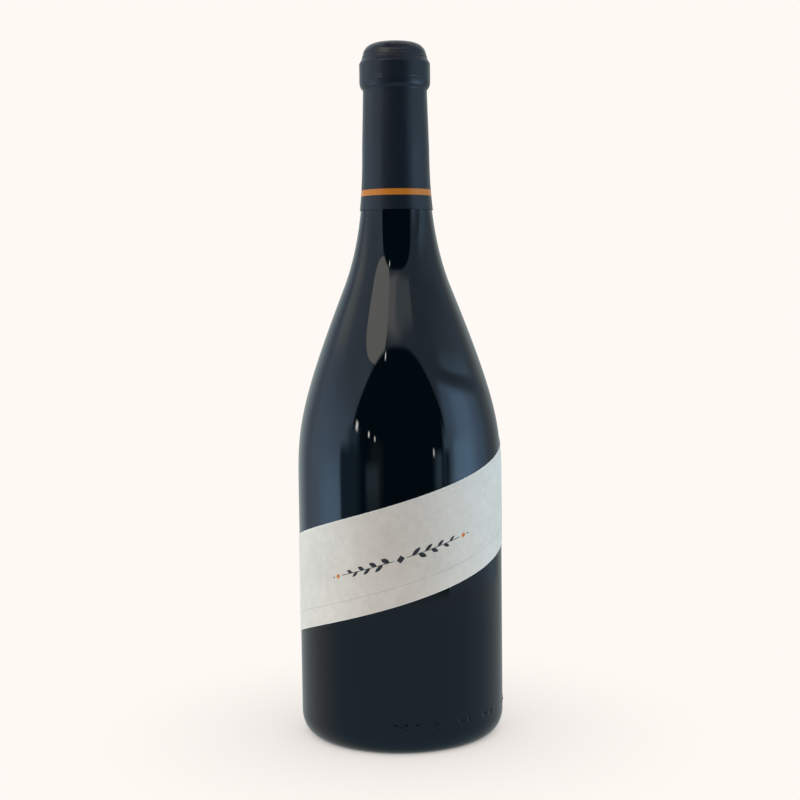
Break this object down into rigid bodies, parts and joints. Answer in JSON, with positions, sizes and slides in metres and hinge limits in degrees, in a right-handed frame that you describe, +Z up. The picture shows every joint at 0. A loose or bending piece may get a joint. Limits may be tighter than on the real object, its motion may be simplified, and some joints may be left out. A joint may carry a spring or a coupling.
{
  "type": "wine bottle",
  "caption": "Full dark glass wine bottle with sloping shoulders, a deep punt, a satin foil capsule over the mouth and a slanted paper label round the body.",
  "frame": {"origin": "centre of the standing ring, on the surface that the bottle stands on", "axes": "+Z up along the bottle's axis, -Y towards the front, where the middle of the label is, +X to the right as seen from the front"},
  "size_m": [0.0888, 0.0885, 0.2968],
  "materials": {
    "dark_glass": "polished, so dark that nothing shows through it",
    "satin_foil": "satin blue-black lacquer",
    "label_paper": "uncoated, faintly felted off-white paper"
  },
  "bodies": {
    "root": {"bottle": "dark_glass", "capsule": "satin_foil", "label": "label_paper"}
  },
  "joints": []
}
